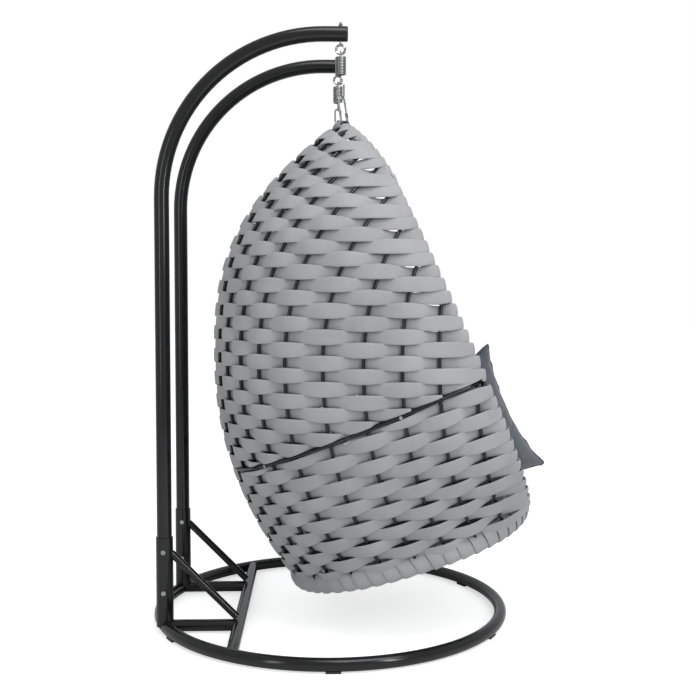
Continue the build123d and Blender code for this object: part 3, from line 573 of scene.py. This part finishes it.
def row(half, plane, number, front_line, from_split=False):
    """One row's straps: one right round the back, or one on each side."""
    front, at_rim = crossing(front_line, plane), True
    if half == "upper":
        at_split = SPLIT_S + (plane[0] + PAST_SPLIT - SPLIT_Z) / SPLIT_SLOPE
        if front is None or at_split < front:
            front, at_rim = at_split, False
    if front is None:
        return []
    if from_split:
        s_back = (SPLIT_Z + PAST_SPLIT - SPLIT_SLOPE * SPLIT_S - plane[0]) / (plane[1] - SPLIT_SLOPE)
    else:
        s_back = solve(lambda s: s - back(plane[0] + plane[1] * s), -420, CREST_S + 5)
    ribs = []
    for index, line in enumerate(rib_lines[half]):
        s = crossing(line, plane) if line else None
        if s is not None and s < front - FRONT_ROOM and not (from_split and s < s_back + SPLIT_ROOM):
            ribs.append((index, s))
    span = front - s_back
    if not ribs or span < SHORTEST_ROW:
        return []

    def share_of(s):
        return sqrt(max(s - s_back, 0.0) / span)

    sides = {}
    for side in (-1, 1):
        knots = [(s, 1 if (index + number + (side > 0)) % 2 else -1) for index, s in ribs]
        if from_split:
            knots.insert(0, (s_back, -knots[0][1]))
        knots.append((front, 1 if at_rim else -knots[-1][1]))

        def sample(s0, s1, share, swing):
            s = s_back + span * (share_of(s0) + (share_of(s1) - share_of(s0)) * share) ** 2
            near = max(0.0, 1 - (front - s) / RIM_RUN_OUT) if at_rim else 0.0
            return row_sample(half, plane, s, side, swing, near)

        samples = swung(knots, sample)
        if at_rim and not (half == "upper" and plane[0] > ROLL_FROM):
            point, out, width = row_frame(plane, front, side)
            forward = width.cross(out)
            forward = -forward if forward.y > 0 else forward
            for k in range(1, 10):
                around = out * cos(pi * k / 9) + forward * sin(pi * k / 9)
                wrap = point + around * (RIM_R + RIM_THIN)
                samples.append((wrap, width, RIM_HALF, RIM_THIN, RIM_FULL))
            tail = point - out * (RIM_R + RIM_THIN) - forward * TAIL
            samples.append((tail, width, UNDER_HALF, THIN, FULL))
        sides[side] = samples
    if from_split:
        return [sides[-1], sides[1]]
    bridge = []
    for k in range(1, 12):
        share = share_of(ribs[0][1]) * (k / 6 - 1)
        swing = (1 if (ribs[0][0] + number) % 2 else -1) * cos(pi * k / 12)
        s = s_back + 0.02 + span * share * share
        bridge.append(row_sample(half, plane, s, -1 if share < 0 else 1, swing))
    return [sides[-1][::-1] + bridge + sides[1]]


def wound(stations, pitch, up_axis, out_axis, lift, half, thin, tilt, steps=18):
    """A strap wound round a member, whose stations are (point, along, out, up)."""
    runs = [0.0]
    for before, after in zip(stations, stations[1:]):
        runs.append(runs[-1] + (after[0] - before[0]).length)
    turns = round(runs[-1] / pitch)
    samples, index = [], 0
    for k in range(turns * steps + 1):
        run = runs[-1] * k / (turns * steps)
        while index < len(runs) - 2 and runs[index + 1] < run:
            index += 1
        share = (run - runs[index]) / (runs[index + 1] - runs[index])
        point, along, out, up = (a.lerp(b, share) for a, b in zip(stations[index], stations[index + 1]))
        turn = 2 * pi * k / steps
        radial = (out * (cos(turn) / out_axis) + up * (sin(turn) / up_axis)).normalized()
        centre = point + out * (out_axis * cos(turn)) + up * (lift + up_axis * sin(turn))
        uneven = 1 + 0.10 * noise.noise(Vector((run * 31, 3.7, thin * 900)))
        width = along * cos(tilt) + radial * sin(tilt)
        samples.append((centre, width, half * uneven, thin, 0.85))
    return samples


def member_stations(spots, closed=False):
    """Point, along, out and up of a member through spots of (point, outward direction)."""
    stations, count = [], len(spots)
    for i, (point, out) in enumerate(spots):
        before = spots[i - 1][0] if closed or i else point
        after = spots[(i + 1) % count][0] if closed or i < count - 1 else point
        along = (after - before).normalized()
        out = (out - along * out.dot(along)).normalized()
        stations.append((point, along, out, along.cross(out)))
    return stations + stations[:1] if closed else stations


FIRST_UPPER, FIRST_LOWER = 16, 13  # lowest row's edge above the split's end, or the bottom ring
SLOPE_STEP = 15  # height over which the back's lean is measured

upper_straps = []
z, number = SPLIT_Z + FIRST_UPPER, 0
while z < CREST_Z - ROW_PITCH:
    pitch = ROW_PITCH / hypot(1, (back(z + SLOPE_STEP) - back(z)) / SLOPE_STEP)
    upper_straps += row("upper", (z + pitch / 2, 0.0), number, rim_line)
    z += pitch
    number += 1

# The roll over the top of the front rim
roll = []
top_line = [spot for spot in rim_line[1:] if spot[2] > ROLL_FROM - 30]
for x, s, z in top_line:
    roll.append((place(x, s, z), normal(x, s, z)))
roll = [(mirrored(point), mirrored(out)) for point, out in reversed(roll)] + roll
upper_straps.append(wound(
    member_stations(roll), pitch=0.036, up_axis=0.014, out_axis=0.014, lift=0.0,
    half=0.0205, thin=RIM_THIN, tilt=0.17))
woven("upper_straps", upper_straps, "upper_weave")

lower_straps = []
z, number = LOW_Z + FIRST_LOWER, 1
while True:
    plane = (z + ROW_PITCH / 2 - LOWER_SLOPE * LOW_S, LOWER_SLOPE)
    below_split = plane[0] + LOWER_SLOPE * SPLIT_S < SPLIT_Z - 4
    straps = row("lower", plane, number, lower_rim_line, not below_split)
    if not straps:
        break
    lower_straps += straps
    z += ROW_PITCH
    number += 1

# The binding round the bottom ring and the edge of the lowest row
binding = []
for k in range(120):
    x, s, z = ring_point(2 * pi * k / 120 + 0.003)
    out = normal(abs(x), s, z)
    binding.append((place(x, s, z), Vector((out.x if x > 0 else -out.x, out.y, 0.0))))
binding = member_stations(binding, True)
if binding[0][3].z < 0:
    binding = [(point, along, out, -up) for point, along, out, up in binding]
lower_straps.append(wound(
    binding, pitch=0.047, up_axis=0.029, out_axis=0.0165, lift=0.007,
    half=0.0262, thin=0.0055, tilt=0.13))
woven("lower_straps", lower_straps, "lower_weave")

# Floor straps, over and under the three floor bars
FLOOR_BARS = (80.0, 265.0, 450.0)
FLOOR_STRAPS, FLOOR_STRAP_PITCH, FLOOR_HALF = 7, 90.0, 0.0215
FLOOR_SWING = RIB_R + THIN + 0.0015
floor_up = Vector((0.0, LOWER_SLOPE, 1.0)).normalized()
floor_straps = []
for index in range(FLOOR_STRAPS):
    x = (index - (FLOOR_STRAPS - 1) / 2) * FLOOR_STRAP_PITCH
    reach = floor_share * (1 - (abs(x) / WIDE_LOW) ** POWER) ** (1 / POWER)
    ends = [LOW_S + (floor_share + sign * reach) * floor_length for sign in (-1, 1)]
    turn = 1 if index % 2 else -1
    knots = [(ends[0], turn)] + [(s, -turn if k % 2 == 0 else turn) for k, s in enumerate(FLOOR_BARS)]
    knots.append((ends[1], turn))

    def floor_sample(s0, s1, share, swing):
        s = s0 + (s1 - s0) * share
        point = place(x, s, bottom_z(s)) + floor_up * (swing * FLOOR_SWING)
        return point, Vector((1.0, 0.0, 0.0)), FLOOR_HALF, THIN, FULL

    floor_straps.append(swung(knots, floor_sample))
woven("floor_straps", floor_straps, "floor_weave")

# ---- cushions ------------------------------------------------------------------------------
# Seat pad and tall back pad: slate polyester covers over fibre fill, with corded seams round
# the seat and two sewn channels across the back. The covers are puffed up as cloth from
# slightly smaller forms.


def cloth_material(name, dark, light, scale=260.0):
    """Plain-weave polyester: crossing threads, slubs and a soft sheen."""
    mat, nodes, links, shader = new_material(name)
    coords = nodes.new("ShaderNodeTexCoord").outputs["Object"]
    weave = nodes.new("ShaderNodeMath")
    weave.operation = "MULTIPLY"
    for index, direction in enumerate(("X", "Z")):
        wave = nodes.new("ShaderNodeTexWave")
        wave.bands_direction = direction
        wave.inputs["Scale"].default_value = scale
        wave.inputs["Distortion"].default_value = 1.2
        wave.inputs["Detail"].default_value = 2.0
        wave.inputs["Detail Scale"].default_value = 2.0
        links.new(coords, wave.inputs["Vector"])
        links.new(wave.outputs["Fac"], weave.inputs[index])
    threads = weave.outputs["Value"]
    slub = noise_node(nodes, links, coords, 42.0, 5.0, 0.65)
    blend = nodes.new("ShaderNodeMath")
    blend.operation = "MULTIPLY_ADD"
    blend.inputs[1].default_value = 0.35
    links.new(threads, blend.inputs[0])
    links.new(slub, blend.inputs[2])
    tone = ramp_node(nodes, links, blend.outputs["Value"], (0.3, dark), (0.95, light))
    links.new(tone, shader.inputs["Base Color"])
    shader.inputs["Roughness"].default_value = 0.85
    shader.inputs["Sheen Weight"].default_value = 0.3
    low = bump_node(nodes, links, slub, 0.2, 0.001)
    links.new(bump_node(nodes, links, threads, 0.35, 0.0006, low), shader.inputs["Normal"])
    return mat


finish("cushion_fabric", cloth_material("slate_cloth", (0.028, 0.034, 0.043), (0.052, 0.061, 0.074)))


def settle(obj):
    """Puts a piece's modifiers into its mesh."""
    view = bpy.context.evaluated_depsgraph_get()
    mesh = bpy.data.meshes.new_from_object(obj.evaluated_get(view))
    obj.modifiers.clear()
    obj.data = mesh


CHANNEL_HALF, CHANNEL_DEEP = 0.013, 0.014
BACK_CHANNELS = (0.62, 0.86)  # heights above the floor


def cushion(name, node, voxel, inset, cap, slot, shape, channels=()):
    """A padded cover that starts from the frame's soft solid and is blown up as cloth.

    Sewn channels are drawn in across it at the given heights.
    """
    bm = bmesh.new()
    bm.from_mesh(frame["nodes"][node].data)
    bmesh.ops.remove_doubles(bm, verts=bm.verts, dist=0.00002)
    bmesh.ops.recalc_face_normals(bm, faces=bm.faces)
    mesh = bpy.data.meshes.new(name)
    bm.to_mesh(mesh)
    bm.free()
    obj = bpy.data.objects.new(name, mesh)
    bpy.context.collection.objects.link(obj)
    remesh = obj.modifiers.new("remesh", "REMESH")
    remesh.mode, remesh.voxel_size = "VOXEL", voxel
    settle(obj)
    bm = bmesh.new()
    bm.from_mesh(obj.data)
    for _ in range(6):
        bmesh.ops.smooth_vert(
            bm, verts=bm.verts, factor=0.5, use_axis_x=True, use_axis_y=True, use_axis_z=True)
    for vert in bm.verts:
        vert.co = shape(vert.co - vert.normal * inset)
    for face in bm.faces:
        face.smooth = True
    bm.to_mesh(obj.data)
    bm.free()
    start = [vert.co.copy() for vert in obj.data.vertices]
    settings = obj.modifiers.new("cloth", "CLOTH").settings
    settings.quality = 5
    settings.mass = 0.3
    settings.tension_stiffness = 15
    settings.compression_stiffness = 12
    settings.bending_stiffness = 0.4
    settings.use_pressure = True
    settings.uniform_pressure_force = 4
    settings.effector_weights.gravity = 0
    settings.shrink_min = -0.04
    for number in range(1, 21):
        bpy.context.scene.frame_set(number)
    settle(obj)
    bpy.context.scene.frame_set(1)
    for vert, home in zip(obj.data.vertices, start):
        move = vert.co - home
        if move.length > cap:
            vert.co = home + move * (cap / move.length)
    obj.data.polygons.foreach_set("use_smooth", [True] * len(obj.data.polygons))
    for height in channels:
        dips = [exp(-(((vert.co.z - height) / CHANNEL_HALF) ** 2)) for vert in obj.data.vertices]
        moved = [vert.co - vert.normal * (CHANNEL_DEEP * dip) for vert, dip in zip(obj.data.vertices, dips)]
        for vert, spot in zip(obj.data.vertices, moved):
            vert.co = spot
    smooth = obj.modifiers.new("subdivision", "SUBSURF")
    smooth.levels = smooth.render_levels = 1
    obj.data.materials.clear()
    obj.data.materials.append(finishes[slot])
    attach(obj, "basket")
    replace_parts(obj, node)
    return obj


def piping(name, cover, guesses, radius, slot):
    """A seam cord laid on a cover, nearest to the guessed points."""
    path = [cover.closest_point_on_mesh(guess)[1] for guess in guesses]
    return tubes(name, [path], radius, slot, 8, True)


SEAT_S, SEAT_HALF_X, SEAT_HALF_Y = 262.0, 352.0, 366.0
SEAT_LIFT, SEAT_T = 16.0, 110.0
SEAT_OVERHANG = 0.035
SEAT_SQUARE = 0.85  # below 1 makes its outline squarer than an ellipse
SEAT_CORD_R = 0.0036


def drawn_forward(co):
    """Draws the seat pad's front half forward, most at its edge."""
    share = min(max((RING_Y - co.y) * 1000 - SEAT_S, 0.0) / SEAT_HALF_Y, 1.0)
    return co + Vector((0.0, -SEAT_OVERHANG * share, 0.0))


seat = cushion(
    "seat_pad", "seat_cushion", voxel=0.009, inset=0.002, cap=0.022,
    slot="cushion_fabric", shape=drawn_forward)
cushion(
    "back_pad", "back_cushion", voxel=0.011, inset=0.004, cap=0.022,
    slot="cushion_fabric", shape=lambda co: co, channels=BACK_CHANNELS)

seat_back = Vector((0.0, 1.0, -LOWER_SLOPE)).normalized()
for label, share in (("top", 0.8), ("under", 0.2)):
    guesses = []
    for k in range(96):
        x, y = cos(2 * pi * k / 96), sin(2 * pi * k / 96)
        x = SEAT_HALF_X / 1000 * abs(x) ** SEAT_SQUARE * (1 if x > 0 else -1)
        y = SEAT_HALF_Y / 1000 * abs(y) ** SEAT_SQUARE * (1 if y > 0 else -1)
        guess = place(0, SEAT_S, bottom_z(SEAT_S)) + floor_up * ((SEAT_LIFT + SEAT_T * share) / 1000)
        guesses.append(drawn_forward(guess + Vector((x, 0, 0)) + seat_back * y))
    piping(f"seat_{label}_piping", seat, guesses, SEAT_CORD_R, "cushion_fabric")

# ---- scatter pillows -----------------------------------------------------------------------
# One leans in each side of the basket: a square cover of lighter slate cloth with a corded
# seam, drawn in between its corners.

PILLOW_X, PILLOW_S, PILLOW_Z = 368.0, 375.0, 665.0
PILLOW_YAW, PILLOW_TIP, PILLOW_SIZE = radians(12.0), radians(27.0), 0.425
PILLOW_OUT, PILLOW_DOWN = 16.0, 10.0  # how far it sinks forward and down from its solid
DRAWN_OUT = 1.05  # makes up for what smoothing takes off the corners
DRAWN_IN = 0.075
CORNER_THINNING, CORNER_POWER = 0.25, 4
PILLOW_CORD_R = 0.0038

finish("pillow_fabric", cloth_material("pillow_cloth", (0.055, 0.064, 0.08), (0.098, 0.112, 0.135)))
for side, sign in (("left", -1), ("right", 1)):
    forward = Vector((-sign * sin(PILLOW_YAW), -cos(PILLOW_YAW), 0))
    face = forward.cross(Vector((0, 0, 1)))
    edge = forward * sin(PILLOW_TIP) - Vector((0, 0, cos(PILLOW_TIP)))
    other = face.cross(edge)
    solid_centre = place(sign * PILLOW_X, PILLOW_S, PILLOW_Z)
    centre = place(sign * PILLOW_X, PILLOW_S + PILLOW_OUT, PILLOW_Z - PILLOW_DOWN)

    def pillow_point(u, v, deep):
        """A point by its shares of the half size, with the sides drawn in between corners."""
        u, v = (
            u * DRAWN_OUT * (1 - DRAWN_IN * (1 - min(v * v, 1))),
            v * DRAWN_OUT * (1 - DRAWN_IN * (1 - min(u * u, 1))))
        return centre + (edge * u + other * v) * (PILLOW_SIZE / 2) + face * deep

    def pillow_shape(co):
        local = co - solid_centre
        u, v = local.dot(edge) / (PILLOW_SIZE / 2), local.dot(other) / (PILLOW_SIZE / 2)
        corner = (min(abs(u), 1) * min(abs(v), 1)) ** CORNER_POWER
        return pillow_point(u, v, local.dot(face) * (1 - CORNER_THINNING * corner))

    pillow = cushion(
        f"{side}_scatter_pillow", f"{side}_pillow", voxel=0.006, inset=0.003, cap=0.024,
        slot="pillow_fabric", shape=pillow_shape)
    seam = []
    for step in range(96):
        a = -1 + 2 * (step % 24) / 24
        seam.append(pillow_point(*((a, -1), (1, a), (-a, 1), (-1, -a))[step // 24], 0.0))
    piping(f"{side}_pillow_piping", pillow, seam, PILLOW_CORD_R, "pillow_fabric")

# ---- studio --------------------------------------------------------------------------------
# Pale floor that runs out into a white background, soft light from above, strip lights from
# the front and the back, and a level view square on the left side.

ground_mat, nodes, links, shader = new_material("pale_ground")
shader.inputs["Base Color"].default_value = (0.9, 0.9, 0.9, 1)
shader.inputs["Roughness"].default_value = 0.8
shader.inputs["Emission Color"].default_value = (1, 1, 1, 1)
lift = nodes.new("ShaderNodeMath")
lift.operation = "MULTIPLY"
lift.inputs[1].default_value = 0.62
links.new(nodes.new("ShaderNodeLightPath").outputs["Is Camera Ray"], lift.inputs[0])
links.new(lift.outputs["Value"], shader.inputs["Emission Strength"])
bm = bmesh.new()
bmesh.ops.create_grid(bm, x_segments=1, y_segments=1, size=30)
bmesh.ops.translate(bm, verts=bm.verts, vec=(0, 0, -0.0005))
ground_mesh = bpy.data.meshes.new("ground")
bm.to_mesh(ground_mesh)
bm.free()
ground = bpy.data.objects.new("ground", ground_mesh)
bpy.context.collection.objects.link(ground)
ground_mesh.materials.append(ground_mat)
ground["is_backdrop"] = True

world = bpy.data.worlds.new("studio")
bpy.context.scene.world = world
world.use_nodes = True
nodes, links = world.node_tree.nodes, world.node_tree.links
nodes["Background"].inputs["Color"].default_value = (1, 1, 1, 1)
lit = nodes.new("ShaderNodeBackground")
lit.inputs["Color"].default_value = (0.97, 0.98, 1, 1)
lit.inputs["Strength"].default_value = 0.55
ray = nodes.new("ShaderNodeLightPath")
seen = nodes.new("ShaderNodeMath")
seen.operation = "ADD"
seen.use_clamp = True
links.new(ray.outputs["Is Camera Ray"], seen.inputs[0])
links.new(ray.outputs["Is Transmission Ray"], seen.inputs[1])
pick = nodes.new("ShaderNodeMixShader")
links.new(seen.outputs["Value"], pick.inputs["Fac"])
links.new(lit.outputs["Background"], pick.inputs[1])
links.new(nodes["Background"].outputs["Background"], pick.inputs[2])
links.new(pick.outputs["Shader"], nodes["World Output"].inputs["Surface"])


def aimed(name, data, location, direction):
    obj = bpy.data.objects.new(name, data)
    obj.location = location
    obj.rotation_mode = "QUATERNION"
    obj.rotation_quaternion = Vector(direction).to_track_quat("-Z", "Y")
    bpy.context.collection.objects.link(obj)
    return obj


for name, location, aim, width, height, power in (
        ("overhead", (-1.6, -0.9, 4.2), (0, 0, 0.9), 2.6, 2.6, 66),
        ("key", (-3.6, -2.6, 2.6), (0, -0.1, 0.9), 0.5, 2.4, 46),
        ("fill", (-3.8, 2.6, 1.6), (0, 0, 0.8), 0.5, 2.4, 17)):
    light = bpy.data.lights.new(name, "AREA")
    light.shape = "RECTANGLE"
    light.size, light.size_y, light.energy = width, height, power
    aimed(name, light, location, Vector(aim) - Vector(location))

camera_data = bpy.data.cameras.new("camera")
camera_data.lens, camera_data.sensor_width = 51.34, 36
VIEW_FROM, VIEW_ALONG = (-3.4163, RING_Y + 0.042, 1.0791), (0.9984, -0.0298, -0.0480)
camera = aimed("camera", camera_data, VIEW_FROM, VIEW_ALONG)
bpy.context.scene.camera = camera
bpy.context.scene.view_settings.view_transform = "Standard"

low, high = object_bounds()
